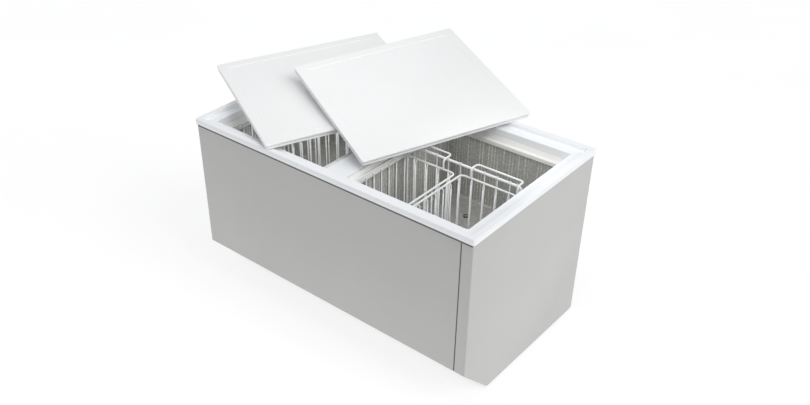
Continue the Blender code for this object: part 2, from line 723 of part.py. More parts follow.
def build_basket(side, label, shift, x0, x1, h0, h1, back):
    name = "basket_%s_%s" % (side, label)
    x0 += shift
    x1 += shift
    half = RIM_WIRE / 2
    tub = BASKET_INSET
    wall = WIRE
    top = BASKET_RIM_Z + half
    ob = box(name, (x0, BASKET_Y0, BASKET_RIM_Z - half), (x1, back, top), "coated_wire")
    join = box("join_" + name, (x0 + tub, BASKET_Y0 + tub, BASKET_FLOOR),
               (x1 - tub, back - tub, top - 0.001), cutter=True)
    boolean(ob, join, "UNION")
    inside = (x0 + tub + wall, x1 - tub - wall, BASKET_Y0 + tub + wall, back - tub - wall)
    hollow = boxes("cut_hollow_" + name, [
        ((inside[0], inside[2], BASKET_FLOOR + wall), (inside[1], inside[3], top + 0.01))])
    boolean(ob, hollow)
    z0 = BASKET_FLOOR + 0.014
    z1 = BASKET_RIM_Z - 0.012
    y_gaps = even_gaps(inside[2], inside[3], WIRE_PITCH, WIRE)
    x_gaps = even_gaps(inside[0], inside[1], WIRE_PITCH, WIRE)
    cut = boxes("cut_front_" + name, [((a, -0.4, z0), (b, 0.05, z1)) for a, b in x_gaps])
    boolean(ob, cut)
    cut = boxes("cut_ends_" + name, [((x0 - 0.01, a, z0), (x1 + 0.01, b, z1)) for a, b in y_gaps])
    boolean(ob, cut)
    cut = boxes("cut_floor_" + name, [
        ((a, inside[2] + 0.01, 0.34), (b, inside[3] - 0.01, BASKET_FLOOR + 0.02)) for a, b in x_gaps])
    boolean(ob, cut)

    def corner(before, at, after):
        """Three points round a bend at a corner of the handle."""
        p, c, q = Vector(before), Vector(at), Vector(after)
        start = c + (p - c).normalized() * HANDLE_BEND
        end = c + (q - c).normalized() * HANDLE_BEND
        return [start, (start + end) * 0.2 + c * 0.6, end]

    y = back - half
    a = h0 + shift
    b = h1 + shift
    route = [(a, y, top + GAP), (a, y, HANDLE_TOP), (a, HANDLE_BACK, HANDLE_TOP),
             (b, HANDLE_BACK, HANDLE_TOP), (b, y, HANDLE_TOP), (b, y, top + GAP)]
    points = [route[0]]
    for before, at, after in zip(route, route[1:], route[2:]):
        points.extend(corner(before, at, after))
    points.append(route[-1])
    handle = tube(name + "_handle", points, HANDLE_WIRE, "coated_wire")

    # the basket and its handle lift out together, about the middle of the rim
    centre = Vector(((x0 + x1) / 2, (BASKET_Y0 + back) / 2, BASKET_RIM_Z))
    seat = bpy.data.objects.new(name + "_place", None)
    PARTS.objects.link(seat)
    seat.location = centre
    for piece in (ob, handle):
        piece.parent = seat
        piece.matrix_parent_inverse = Matrix.Translation(centre).inverted()


def build_divider(side, shift):
    name = "divider_" + side
    x0 = 0.062 + shift
    x1 = 0.536 + shift
    y0 = DIVIDER_Y - 0.004
    y1 = DIVIDER_Y + 0.004
    rail = box(name, (x0, y0, DIVIDER_TOP - 0.008), (x1, y1, DIVIDER_TOP), "coated_wire")
    g0 = TANK_X0 + 0.0015 + shift
    g1 = TANK_X1 - 0.0015 + shift
    grid = box("join_grid_" + name, (g0, y0 + 0.0015, BASKET_FLOOR),
               (g1, y1 - 0.0015, DIVIDER_TOP - 0.004), cutter=True)
    boolean(rail, grid, "UNION")
    for i, x in enumerate((x0, x1 - 0.008)):
        foot = box("join_foot_%d_%s" % (i, name), (x, y0 + 0.001, LEDGE_Z + GAP),
                   (x + 0.008, y1 - 0.001, DIVIDER_TOP - 0.002), cutter=True)
        boolean(rail, foot, "UNION")
    uprights = [DIVIDER_FIRST + shift + i * DIVIDER_STEP for i in range(DIVIDER_WIRES)]
    edges = [g0 + WIRE / 2] + uprights + [g1 - WIRE / 2]
    gaps = [(a + WIRE / 2, b - WIRE / 2) for a, b in zip(edges, edges[1:])]
    cut = boxes("cut_grid_" + name, [
        ((a, -0.1, BASKET_FLOOR + 0.006), (b, 0.1, DIVIDER_TOP - 0.014)) for a, b in gaps])
    boolean(rail, cut)


# ----------------------------------------------------------------------------
def main():
    global PARTS, CUTTERS
    clear_scene()
    make_materials()
    PARTS = bpy.data.collections.new("ice_cream_cabinet")
    CUTTERS = bpy.data.collections.new("cutters")
    for coll in (PARTS, CUTTERS):
        bpy.context.scene.collection.children.link(coll)
    build_panels()
    build_base()
    build_foam()
    build_rim()
    for label, sign in tank_spans():
        build_liner(label, sign)
        build_collar(label, sign)
        build_coil(label, sign)
        build_drain(label, sign)
        shift = 0.0 if sign > 0 else -(TANK_X0 + TANK_X1)
        for letter, x0, x1, h0, h1, back in BASKETS:
            build_basket(label, letter, shift, x0, x1, h0, h1, back)
        build_divider(label, shift)
    build_machinery()
    build_lid("lid_left")
    build_lid("lid_right")


main()
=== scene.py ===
import json
import math

import bmesh
import bpy
from mathutils import Euler, Matrix, Vector

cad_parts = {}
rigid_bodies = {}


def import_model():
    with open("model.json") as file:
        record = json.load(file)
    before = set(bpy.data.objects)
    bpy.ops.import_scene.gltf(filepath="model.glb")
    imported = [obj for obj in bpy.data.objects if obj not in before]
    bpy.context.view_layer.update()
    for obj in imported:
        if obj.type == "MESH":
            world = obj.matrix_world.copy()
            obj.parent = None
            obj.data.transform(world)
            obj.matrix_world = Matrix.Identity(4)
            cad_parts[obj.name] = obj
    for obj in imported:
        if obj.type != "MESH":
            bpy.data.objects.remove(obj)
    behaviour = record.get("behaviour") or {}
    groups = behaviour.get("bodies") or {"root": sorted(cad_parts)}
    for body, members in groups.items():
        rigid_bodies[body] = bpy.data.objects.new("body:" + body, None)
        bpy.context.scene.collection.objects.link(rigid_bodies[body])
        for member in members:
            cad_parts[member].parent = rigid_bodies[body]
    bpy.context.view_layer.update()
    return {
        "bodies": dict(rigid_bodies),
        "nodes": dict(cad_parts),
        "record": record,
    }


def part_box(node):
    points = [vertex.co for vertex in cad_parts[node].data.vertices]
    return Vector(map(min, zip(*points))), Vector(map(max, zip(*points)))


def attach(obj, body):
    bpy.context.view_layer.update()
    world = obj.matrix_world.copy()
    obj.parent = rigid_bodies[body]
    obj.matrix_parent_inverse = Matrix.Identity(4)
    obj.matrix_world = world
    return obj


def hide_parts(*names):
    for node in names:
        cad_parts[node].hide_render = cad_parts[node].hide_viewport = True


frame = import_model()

NODES = frame["nodes"]

# ----------------------------------------------------------------------------
# Camera
# ----------------------------------------------------------------------------
CAM_PLACE = Vector((1.7467, -2.1400, 2.1215))
CAM_AZIMUTH = 42.7029
CAM_ELEVATION = 34.1728
CAM_ROLL = -1.6055
CAM_LENS = 39.62
CAM_SHIFT = (0.0775, 0.0416)

# ----------------------------------------------------------------------------
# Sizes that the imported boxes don't give, in metres
# ----------------------------------------------------------------------------
# resting place of each lid, as in the part: top centre, tilt X, tilt Y, turn
LID_PLACES = {
    "lid_left": ((-0.3405, 0.0572, 0.7435), 4.34, 6.53, -24.94),
    "lid_right": ((-0.0547, 0.1935, 0.7563), 6.70, 12.01, -21.19),
}
LID_HALF = (0.27875, 0.333)
LID_BORDER = 0.035
RIM_WIDTHS = {"front": 0.053, "end": 0.059, "back": 0.066}
RIM_TOP = 0.022             # width of the rim's flat top, and of the fold down from it
RIM_SECTION = 0.066         # width that the rim's section is drawn at
LEDGE_Z = 0.621             # top of the collar's ledge
LEDGE_WIDTH = 0.013
BASKET_INSET = 0.0098       # a basket's cage hangs inside its rim by this much
BEND = 0.009                # bend of a cage wire

# radius of each wire
RIM_WIRE = 0.0035
CAGE_WIRE = 0.0024
HANDLE_WIRE = 0.0032
RAIL_WIRE = 0.0046

# back corner to the first side wire, and the side wires' pitch, for each basket
SIDE_WIRES = {"a": (0.032, 0.040), "b": (0.017, 0.042)}
# side of the rim to the first front wire, the pitch, and the count
END_WIRES = {"a": (0.0215, 0.0475, 5), "b": (0.0474, 0.0475, 4)}
# end of the divider to its first upright wire, the pitch, and the count
DIVIDER_WIRES = (0.045, 0.0481, 9)

LOUVRE_COUNT = 8
LOUVRE_FOOT = 0.045         # middle of the lowest louvre
LOUVRE_PITCH = 0.024
LOUVRE_HALF = 0.114         # half length of a louvre
LOUVRE_OUT = 0.0046         # a hood stands proud of the panel by this much

LINER_RIB_PITCH = 0.0125
FIN_PITCH = 0.0022
KNOB_Z = 0.130


def make_camera():
    data = bpy.data.cameras.new("camera")
    cam = bpy.data.objects.new("camera", data)
    bpy.context.scene.collection.objects.link(cam)
    a = math.radians(CAM_AZIMUTH)
    e = math.radians(CAM_ELEVATION)
    roll = math.radians(CAM_ROLL)
    back = Vector((math.sin(a) * math.cos(e), -math.cos(a) * math.cos(e), math.sin(e)))
    right = (-back).cross(Vector((0, 0, 1))).normalized()
    up = right.cross(-back)
    r2 = right * math.cos(roll) + up * math.sin(roll)
    u2 = up * math.cos(roll) - right * math.sin(roll)
    turn = Matrix((r2, u2, back)).transposed().to_4x4()
    cam.matrix_world = Matrix.Translation(CAM_PLACE) @ turn
    data.sensor_width = 36.0
    data.lens = CAM_LENS
    data.shift_x, data.shift_y = CAM_SHIFT
    data.clip_start = 0.05
    data.clip_end = 200.0
    bpy.context.scene.camera = cam


# ----------------------------------------------------------------------------
# Node materials
# ----------------------------------------------------------------------------
class Surface:
    """A Principled material with a few shortcuts for its procedural nodes."""

    def __init__(self, name, roughness=0.4, metallic=0.0, **sockets):
        self.mat = bpy.data.materials.new(name)
        self.mat.use_nodes = True
        self.tree = self.mat.node_tree
        self.shader = self.tree.nodes["Principled BSDF"]
        self.shader.inputs["Roughness"].default_value = roughness
        self.shader.inputs["Metallic"].default_value = metallic
        for key, value in sockets.items():
            self.shader.inputs[key.replace("_", " ")].default_value = value
        self.coords = self.node("ShaderNodeTexCoord").outputs["Object"]

    def node(self, kind, **props):
        made = self.tree.nodes.new(kind)
        for key, value in props.items():
            setattr(made, key, value)
        return made

    def link(self, a, b):
        self.tree.links.new(a, b)

    def scaled(self, scale=(1, 1, 1), turn=(0, 0, 0)):
        node = self.node("ShaderNodeMapping")
        node.inputs["Scale"].default_value = scale
        node.inputs["Rotation"].default_value = [math.radians(x) for x in turn]
        self.link(self.coords, node.inputs["Vector"])
        return node.outputs["Vector"]

    def noise(self, scale, detail=3.0, rough=0.5, vector=None, distortion=0.0):
        node = self.node("ShaderNodeTexNoise")
        node.inputs["Scale"].default_value = scale
        node.inputs["Detail"].default_value = detail
        node.inputs["Roughness"].default_value = rough
        node.inputs["Distortion"].default_value = distortion
        self.link(vector or self.coords, node.inputs["Vector"])
        return node.outputs["Fac"]

    def ramp(self, fac, stops):
        """Colours or greys along a factor; a grey may be one number."""
        node = self.node("ShaderNodeValToRGB")
        elements = node.color_ramp.elements
        while len(elements) < len(stops):
            elements.new(0.5)
        for element, (at, colour) in zip(elements, stops):
            element.position = at
            if isinstance(colour, (int, float)):
                colour = (colour, colour, colour)
            element.color = (*colour, 1.0)
        self.link(fac, node.inputs["Fac"])
        return node.outputs["Color"]

    def mix(self, fac, a, b, blend="MIX"):
        node = self.node("ShaderNodeMix", data_type="RGBA", blend_type=blend)
        for socket, value in ((node.inputs[0], fac), (node.inputs[6], a), (node.inputs[7], b)):
            if isinstance(value, bpy.types.NodeSocket):
                self.link(value, socket)
            elif isinstance(value, tuple):
                socket.default_value = (*value, 1.0)
            else:
                socket.default_value = value
        return node.outputs[2]

    def math(self, operation, a, b=0.0):
        node = self.node("ShaderNodeMath", operation=operation)
        for socket, value in zip(node.inputs, (a, b)):
            if isinstance(value, bpy.types.NodeSocket):
                self.link(value, socket)
            else:
                socket.default_value = value
        return node.outputs[0]

    def colour(self, output):
        self.link(output, self.shader.inputs["Base Color"])

    def rough(self, output):
        self.link(output, self.shader.inputs["Roughness"])

    def bump(self, height, strength, distance):
        node = self.node("ShaderNodeBump")
        node.inputs["Strength"].default_value = strength
        node.inputs["Distance"].default_value = distance
        self.link(height, node.inputs["Height"])
        if self.shader.inputs["Normal"].is_linked:
            self.link(self.shader.inputs["Normal"].links[0].from_socket, node.inputs["Normal"])
        self.link(node.outputs["Normal"], self.shader.inputs["Normal"])


def painted_steel():
    s = Surface("painted_steel_visual", 0.40, 0.0, Specular_IOR_Level=0.45)
    base = s.ramp(s.noise(1.7, 4.0, 0.55), [(0.25, (0.520, 0.521, 0.508)), (0.75, (0.548, 0.549, 0.536))])
    specks = s.ramp(s.noise(420.0, 2.0, 0.5), [(0.30, (0.94, 0.94, 0.94)), (0.62, (1.0, 1.0, 1.0))])
    s.colour(s.mix(1.0, base, specks, "MULTIPLY"))
    s.rough(s.ramp(s.noise(5.0, 5.0, 0.6), [(0.3, 0.34), (0.7, 0.46)]))
    s.bump(s.noise(650.0, 2.0, 0.5), 0.10, 0.00025)
    s.bump(s.noise(9.0, 2.0, 0.4), 0.05, 0.002)
    return s.mat


def white_plastic(name, light, dark, roughness, grain=900.0, grain_strength=0.06):
    s = Surface(name, roughness, 0.0, Specular_IOR_Level=0.5)
    base = s.ramp(s.noise(3.2, 4.0, 0.5), [(0.25, dark), (0.75, light)])
    scuffs = s.noise(38.0, 5.0, 0.7, s.scaled((1.0, 6.0, 1.0), (0, 0, 31)))
    s.colour(s.mix(1.0, base, s.ramp(scuffs, [(0.22, 0.955), (0.40, 1.0)]), "MULTIPLY"))
    s.rough(s.ramp(s.noise(14.0, 6.0, 0.65), [(0.3, roughness - 0.05), (0.7, roughness + 0.07)]))
    s.bump(s.noise(grain, 2.0, 0.5), grain_strength, 0.0002)
    s.bump(s.noise(6.0, 2.0, 0.4), 0.06, 0.002)
    return s.mat


def tank_liner():
    """Dark embossed sheet: fine pebble grain, and upright ribs on the walls only, with painted highlights
    in beige streaks along the rib crests.
    """
    s = Surface("tank_liner_visual", 0.46, 0.35)
    geometry = s.node("ShaderNodeNewGeometry")
    split = s.node("ShaderNodeSeparateXYZ")
    s.link(geometry.outputs["Normal"], split.inputs[0])
    flat = s.math("ABSOLUTE", split.outputs["Z"])
    wall = s.ramp(flat, [(0.25, 1.0), (0.6, 0.0)])
    place = s.node("ShaderNodeSeparateXYZ")
    s.link(s.coords, place.inputs[0])
    along = s.math("ADD", place.outputs["X"], place.outputs["Y"])
    wave = s.math("SINE", s.math("MULTIPLY", along, 2 * math.pi / LINER_RIB_PITCH))
    ribs = s.ramp(s.math("ADD", s.math("MULTIPLY", wave, 0.5), 0.5), [(0.0, 0.0), (1.0, 1.0)])
    # painted highlight: in long upright streaks the rib crests turn beige, as if lit
    highlight_streaks = s.noise(70.0, 3.0, 0.6, s.scaled((1.0, 1.0, 0.045)))
    lit = s.ramp(highlight_streaks, [(0.40, 0.0), (0.62, 1.0)])
    base = s.ramp(s.noise(4.0, 4.0, 0.6), [(0.3, (0.40, 0.40, 0.385)), (0.7, (0.48, 0.48, 0.46))])
    rib_highlight = s.mix(s.ramp(ribs, [(0.50, 0.0), (0.95, 1.0)]), base, (0.76, 0.745, 0.67))
    walls = s.mix(lit, base, rib_highlight)
    dimples = s.node("ShaderNodeTexVoronoi", feature="F1")
    dimples.inputs["Scale"].default_value = 125.0
    s.link(s.coords, dimples.inputs["Vector"])
    stucco = s.ramp(dimples.outputs["Distance"], [(0.10, 1.0), (0.65, 0.72)])
    s.colour(s.mix(1.0, s.mix(wall, base, walls), stucco, "MULTIPLY"))
    s.rough(s.ramp(s.noise(22.0, 5.0, 0.6), [(0.3, 0.36), (0.7, 0.52)]))
    pebble = s.node("ShaderNodeTexVoronoi", feature="SMOOTH_F1")
    pebble.inputs["Scale"].default_value = 125.0
    s.link(s.coords, pebble.inputs["Vector"])
    s.bump(pebble.outputs["Distance"], 0.5, 0.0010)
    s.bump(s.math("MULTIPLY", ribs, wall), 0.45, 0.0012)
    return s.mat


def galvanised():
    s = Surface("galvanised_visual", 0.42, 0.85)
    cells = s.node("ShaderNodeTexVoronoi", feature="F1")
    cells.inputs["Scale"].default_value = 75.0
    s.link(s.coords, cells.inputs["Vector"])
    grey = s.ramp(cells.outputs["Color"], [(0.0, (0.36, 0.375, 0.385)), (1.0, (0.56, 0.575, 0.585))])
    s.colour(s.mix(0.35, grey, s.ramp(s.noise(7.0, 5.0, 0.6), [(0.3, 0.34), (0.7, 0.60)])))
    s.rough(s.ramp(cells.outputs["Color"], [(0.0, 0.34), (1.0, 0.55)]))
    s.bump(s.noise(300.0, 2.0), 0.08, 0.0002)
    return s.mat


def coated_wire():
    s = Surface("coated_wire_visual", 0.30, 0.0, Coat_Weight=0.15, Coat_Roughness=0.2)
    base = s.ramp(s.noise(11.0, 4.0, 0.6), [(0.3, (0.80, 0.815, 0.82)), (0.7, (0.90, 0.91, 0.915))])
    s.colour(s.mix(1.0, base, s.ramp(s.noise(160.0, 3.0), [(0.28, 0.90), (0.45, 1.0)]), "MULTIPLY"))
    s.rough(s.ramp(s.noise(45.0, 4.0), [(0.3, 0.24), (0.7, 0.40)]))
    s.bump(s.noise(140.0, 3.0, 0.5, s.scaled((1, 1, 0.35))), 0.25, 0.0005)
    return s.mat


def moulded(name, dark, light, roughness, grain=700.0, metallic=0.0):
    """A plain moulded, cast or enamelled piece, mottled and grained."""
    s = Surface(name, roughness, metallic)
    base = s.ramp(s.noise(18.0, 5.0, 0.6), [(0.3, dark), (0.7, light)])
    s.colour(base)
    s.rough(s.ramp(s.noise(40.0, 4.0, 0.6), [(0.3, roughness - 0.07), (0.7, roughness + 0.09)]))
    s.bump(s.noise(grain, 3.0, 0.55), 0.16, 0.0003)
    return s.mat


def copper():
    s = Surface("copper_visual", 0.34, 1.0)
    s.colour(s.ramp(s.noise(30.0, 5.0, 0.65), [(0.3, (0.36, 0.16, 0.09)), (0.7, (0.72, 0.38, 0.24))]))
    s.rough(s.ramp(s.noise(90.0, 4.0), [(0.3, 0.26), (0.7, 0.46)]))
    return s.mat


def fins():
    """Thin upright aluminium fins on a condenser's face, drawn as stripes with painted shade in the gaps
    between them.
    """
    s = Surface("fin_visual", 0.42, 0.9)
    place = s.node("ShaderNodeSeparateXYZ")
    s.link(s.coords, place.inputs[0])
    wave = s.math("SINE", s.math("MULTIPLY", place.outputs["X"], 2 * math.pi / FIN_PITCH))
    # painted shade: near black in the gaps between fins, light grey on the fins
    fin_gap_shade = s.ramp(wave, [(0.0, (0.08, 0.08, 0.085)), (0.55, (0.60, 0.61, 0.62))])
    dust = s.ramp(s.noise(16.0, 5.0, 0.7), [(0.42, (1.0, 1.0, 1.0)), (0.7, (0.70, 0.67, 0.62))])
    s.colour(s.mix(1.0, fin_gap_shade, dust, "MULTIPLY"))
    s.rough(s.ramp(s.noise(25.0, 4.0), [(0.3, 0.35), (0.7, 0.55)]))
    s.bump(wave, 0.6, 0.0008)
    return s.mat


def foam():
    s = Surface("foam_visual", 0.9, 0.0)
    cells = s.node("ShaderNodeTexVoronoi", feature="F1")
    cells.inputs["Scale"].default_value = 420.0
    s.link(s.coords, cells.inputs["Vector"])
    s.colour(s.ramp(cells.outputs["Distance"], [(0.0, (0.62, 0.50, 0.28)), (0.7, (0.86, 0.76, 0.50))]))
    s.rough(s.ramp(s.noise(60.0), [(0.3, 0.84), (0.7, 0.96)]))
    s.bump(cells.outputs["Distance"], 0.5, 0.0008)
    return s.mat


def screw_steel():
    s = Surface("screw_steel_visual", 0.3, 1.0)
    s.colour(s.ramp(s.noise(200.0, 4.0), [(0.3, (0.46, 0.46, 0.47)), (0.7, (0.70, 0.70, 0.71))]))
    s.rough(s.ramp(s.noise(400.0, 3.0), [(0.3, 0.22), (0.7, 0.42)]))
    return s.mat


def floor_surface():
    s = Surface("floor_visual", 0.85, 0.0, Specular_IOR_Level=0.1, Emission_Strength=0.74,
                Emission_Color=(1.0, 1.0, 1.0, 1.0))
    s.colour(s.ramp(s.noise(0.8, 3.0), [(0.3, 0.35), (0.7, 0.37)]))
    s.rough(s.ramp(s.noise(3.0), [(0.3, 0.82), (0.7, 0.9)]))
    return s.mat


MAT = {
    "painted_steel": painted_steel(),
    "rim_plastic": white_plastic("rim_plastic_visual", (0.91, 0.925, 0.945), (0.88, 0.895, 0.915), 0.34),
    "collar_plastic": white_plastic("collar_plastic_visual", (0.86, 0.855, 0.83), (0.82, 0.815, 0.79), 0.42,
                                    700.0, 0.10),
    "liner_metal": tank_liner(),
    "lid_plastic": white_plastic("lid_plastic_visual", (0.915, 0.92, 0.92), (0.885, 0.89, 0.89), 0.38,
                                 800.0, 0.08),
    "lid_core_grey": moulded("lid_core_visual", (0.36, 0.36, 0.345), (0.46, 0.46, 0.44), 0.6),
    "coated_wire": coated_wire(),
    "foam": foam(),
    "galvanised": galvanised(),
    "copper_tube": copper(),
    # on the base pan this black is painted shade, the dark of the gap under the side and back panels;
    # elsewhere it is the parts' own black enamel
    "black_enamel": moulded("black_enamel_and_gap_shade_visual", (0.010, 0.010, 0.011), (0.022, 0.022, 0.024), 0.32),
    "fin_aluminium": fins(),
    "black_plastic": moulded("black_plastic_visual", (0.018, 0.018, 0.018), (0.035, 0.035, 0.035), 0.5),
    "drain_grey": moulded("drain_grey_visual", (0.012, 0.012, 0.013), (0.022, 0.022, 0.023), 0.5),
    "screw_steel": screw_steel(),
    "lid_band": moulded("lid_band_visual", (0.50, 0.50, 0.49), (0.58, 0.58, 0.57), 0.5),
    # painted shade: the near-black of the strips that darken the seam and the band under the rim lip
    "shade_strip_grey": moulded("shade_strip_grey_visual", (0.10, 0.10, 0.098), (0.14, 0.14, 0.137), 0.6),
}


def paint_cad_nodes():
    slots = {row["node"]: row["material_slot"] for row in frame["record"]["subparts"]}
    for name, ob in NODES.items():
        ob.data.materials.clear()
        ob.data.materials.append(MAT[slots[name]])


# ----------------------------------------------------------------------------
# Mesh and curve helpers: points are in the cabinet's own frame
# ----------------------------------------------------------------------------
def add(name, data, material):
    ob = bpy.data.objects.new(name, data)
    bpy.context.scene.collection.objects.link(ob)
    data.materials.append(MAT[material])
    return ob


def mesh_from(name, bm, material, sharp=35.0, fix_normals=True):
    if fix_normals:
        bmesh.ops.recalc_face_normals(bm, faces=bm.faces)
    mesh = bpy.data.meshes.new(name)
    bm.to_mesh(mesh)
    bm.free()
    mesh.shade_smooth()
    mesh.set_sharp_from_angle(angle=math.radians(sharp))
    ob = add(name, mesh, material)
    even = ob.modifiers.new("even_shading", "WEIGHTED_NORMAL")
    even.keep_sharp = True
    return ob


def rounded_rect(x0, x1, y0, y1, radius, z, steps=6):
    """A horizontal loop with rounded corners, anticlockwise from +X."""
    points = []
    corners = ((x1 - radius, y1 - radius, 0), (x0 + radius, y1 - radius, 90),
               (x0 + radius, y0 + radius, 180), (x1 - radius, y0 + radius, 270))
    for cx, cy, start in corners:
        for i in range(steps + 1):
            a = math.radians(start + 90 * i / steps)
            points.append(Vector((cx + radius * math.cos(a), cy + radius * math.sin(a), z)))
    return points


def upright_rect(cx, cz, sides, radius, y, steps):
    """A rounded loop in a plane of constant Y; sides are X to X and Z to Z from its centre."""
    return [Vector((cx + p.x, y, cz + p.y)) for p in rounded_rect(*sides, radius, 0.0, steps)]


def circle(cx, cy, radius, z, n):
    """A horizontal loop of n points."""
    turns = [2 * math.pi * i / n for i in range(n)]
    return [Vector((cx + radius * math.cos(a), cy + radius * math.sin(a), z)) for a in turns]


def loft(bm, rows, closed=False, cap_first=False, cap_last=False):
    """Quads between loops that all have the same number of points."""
    made = [[bm.verts.new(p) for p in row] for row in rows]
    pairs = list(zip(made, made[1:]))
    if closed:
        pairs.append((made[-1], made[0]))
    n = len(made[0])
    for low, high in pairs:
        for i in range(n):
            j = (i + 1) % n
            bm.faces.new((low[i], low[j], high[j], high[i]))
    if cap_first:
        bm.faces.new(list(reversed(made[0])))
    if cap_last:
        bm.faces.new(made[-1])


def ride_all(pieces, body):
    for piece in pieces:
        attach(piece, body)


def fillet(points, radius, steps=5, closed=False):
    """A polyline with every bend rounded by an arc."""
    pts = [Vector(p) for p in points]
    n = len(pts)
    out = []
    for i in range(n):
        if not closed and i in (0, n - 1):
            out.append(pts[i])
            continue
        c = pts[i]
        a = (pts[i - 1] - c)
        b = (pts[(i + 1) % n] - c)
        half = a.angle(b) / 2
        if half > math.radians(88):
            out.append(c)
            continue
        r = radius
        reach = r / math.tan(half)
        room = min(a.length, b.length) * 0.499
        if reach > room:
            reach = room
            r = reach * math.tan(half)
        a.normalize()
        b.normalize()
        middle = c + (a + b).normalized() * (r / math.sin(half))
        start = c + a * reach - middle
        end = c + b * reach - middle
        for k in range(steps + 1):
            out.append(middle + start.lerp(end, k / steps).normalized() * r)
    return out


def wires(name, paths, radius, material, resolution=3):
    """Round wires along (points, closed) paths, as one curve object."""
    curve = bpy.data.curves.new(name, "CURVE")
    curve.dimensions = "3D"
    curve.bevel_depth = radius
    curve.bevel_resolution = resolution
    curve.use_fill_caps = True
    for points, closed in paths:
        spline = curve.splines.new("POLY")
        spline.points.add(len(points) - 1)
        for point, co in zip(spline.points, points):
            point.co = (*co, 1.0)
        spline.use_cyclic_u = closed
        spline.use_smooth = True
    return add(name, curve, material)


# ----------------------------------------------------------------------------
# Cabinet skins
# ----------------------------------------------------------------------------
def strip(bm, outline, z0, z1):
    """An upright sheet over a plan outline that runs anticlockwise round the body."""
    low = [bm.verts.new((x, y, z0)) for x, y in outline]
    high = [bm.verts.new((x, y, z1)) for x, y in outline]
    for i in range(len(outline) - 1):
        bm.faces.new((low[i], low[i + 1], high[i + 1], high[i]))


def plan_fillet(points, radii):
    """A plan outline with its own radius at each inner point."""
    out = [points[0]]
    for i in range(1, len(points) - 1):
        bend = fillet([(*points[i - 1], 0), (*points[i], 0), (*points[i + 1], 0)], radii[i - 1], 5)
        out.extend((p.x, p.y) for p in bend[1:-1])
    out.append(points[-1])
    return out


def skin(name, outline, z0, z1, undercut_z, thickness=0.0012):
    bm = bmesh.new()
    strip(bm, outline, z0, z1)
    if undercut_z is not None:
        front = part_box("front_panel")[0].y
        geom = bm.verts[:] + bm.edges[:] + bm.faces[:]
        bmesh.ops.bisect_plane(bm, geom=geom, plane_co=(0, front, undercut_z), plane_no=(0, -1, -1),
                               clear_outer=True)
    ob = mesh_from(name, bm, "painted_steel", fix_normals=False)
    solid = ob.modifiers.new("sheet", "SOLIDIFY")
    solid.thickness = thickness
    solid.offset = -1.0
    round_edge = ob.modifiers.new("edge", "BEVEL")
    round_edge.width = 0.0003
    round_edge.segments = 2
    round_edge.limit_method = "ANGLE"
    round_edge.angle_limit = math.radians(50)
    return ob


def build_skins():
    front_lo, front_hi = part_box("front_panel")
    side_lo, side_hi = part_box("right_side_panel")
    left_lo, left_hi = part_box("left_side_panel")
    x0, x1 = front_lo.x, side_hi.x
    y0, y1 = front_lo.y, side_hi.y
    seam = (front_hi.x + side_lo.x) / 2
    top = front_hi.z
    foot = front_lo.z
    wrap = front_hi.y - front_lo.y
    gap = 0.0014        # half width of the seam
    fold = 0.012        # the sheets turn in at the seam by this much
    bend = 0.003

    edge = seam - gap
    outline = plan_fillet([(x0, y0 + wrap), (x0, y0), (edge, y0), (edge, y0 + fold)], [bend, bend])
    front = skin("skin_front", outline, foot, top, None)
    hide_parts("front_panel")
    edge = seam + gap
    outline = plan_fillet([(edge, y0 + fold), (edge, y0), (x1, y0), (x1, y1)], [bend, bend])
    right = skin("skin_right", outline, side_lo.z, side_hi.z, foot)
    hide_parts("right_side_panel")
    left = skin("skin_left", [(x0, y1), (x0, y0 + wrap + 0.0006)], left_lo.z, left_hi.z, foot)
    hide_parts("left_side_panel")
    ride_all([front, right, left], "cabinet")

    # a dark strip of painted shade lies just behind the seam, in front of the insulation, so that the seam
    # reads as a dark line
    bm = bmesh.new()
    rows = []
    for grow, y in ((0.0, y0 + 0.0019), (0.0, y0 + 0.0015), (-0.0004, y0 + 0.0011)):
        sides = (-0.0034 - grow, 0.0034 + grow, foot + 0.001, top - 0.001)
        rows.append(upright_rect(seam, 0.0, sides, 0.0010, y, 3))
    loft(bm, rows, cap_first=True, cap_last=True)
    seam_shade = mesh_from("seam_shade_strip", bm, "shade_strip_grey")
    ride_all([seam_shade], "cabinet")


def build_louvre_hoods():
    """A pressed hood over each slot of the back panel, tapering into it at both ends."""
    _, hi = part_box("back_panel")
    coil_lo, coil_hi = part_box("condenser_coil")
    fan_x = (coil_lo.x + coil_hi.x) / 2
    bm = bmesh.new()
    for side in (-1, 1):
        for k in range(LOUVRE_COUNT):
            z = LOUVRE_FOOT + k * LOUVRE_PITCH
            rows = []
            for i in range(25):
                t = -1 + 2 * i / 24
                shape = min(1.0, (1 - abs(t)) / 0.07) ** 0.5
                x = side * fan_x + LOUVRE_HALF * t
                row = []
                for j in range(7):
                    a = math.radians(90 * j / 6)
                    out = LOUVRE_OUT * math.sin(a) * shape
                    drop = 0.0125 * (1 - math.cos(a)) * shape
                    row.append(Vector((x, hi.y + 0.0002 + out, z + 0.0115 - drop)))
                rows.append(row)
            for low, high in zip(rows, rows[1:]):
                a = [bm.verts.new(p) for p in low]
                b = [bm.verts.new(p) for p in high]
                for j in range(6):
                    bm.faces.new((a[j], a[j + 1], b[j + 1], b[j]))
    bmesh.ops.remove_doubles(bm, verts=bm.verts, dist=0.00002)
    hoods = mesh_from("back_louvre_hoods", bm, "painted_steel")
    solid = hoods.modifiers.new("sheet", "SOLIDIFY")
    solid.thickness = 0.0008
    solid.offset = 0.0
    ride_all([hoods], "cabinet")


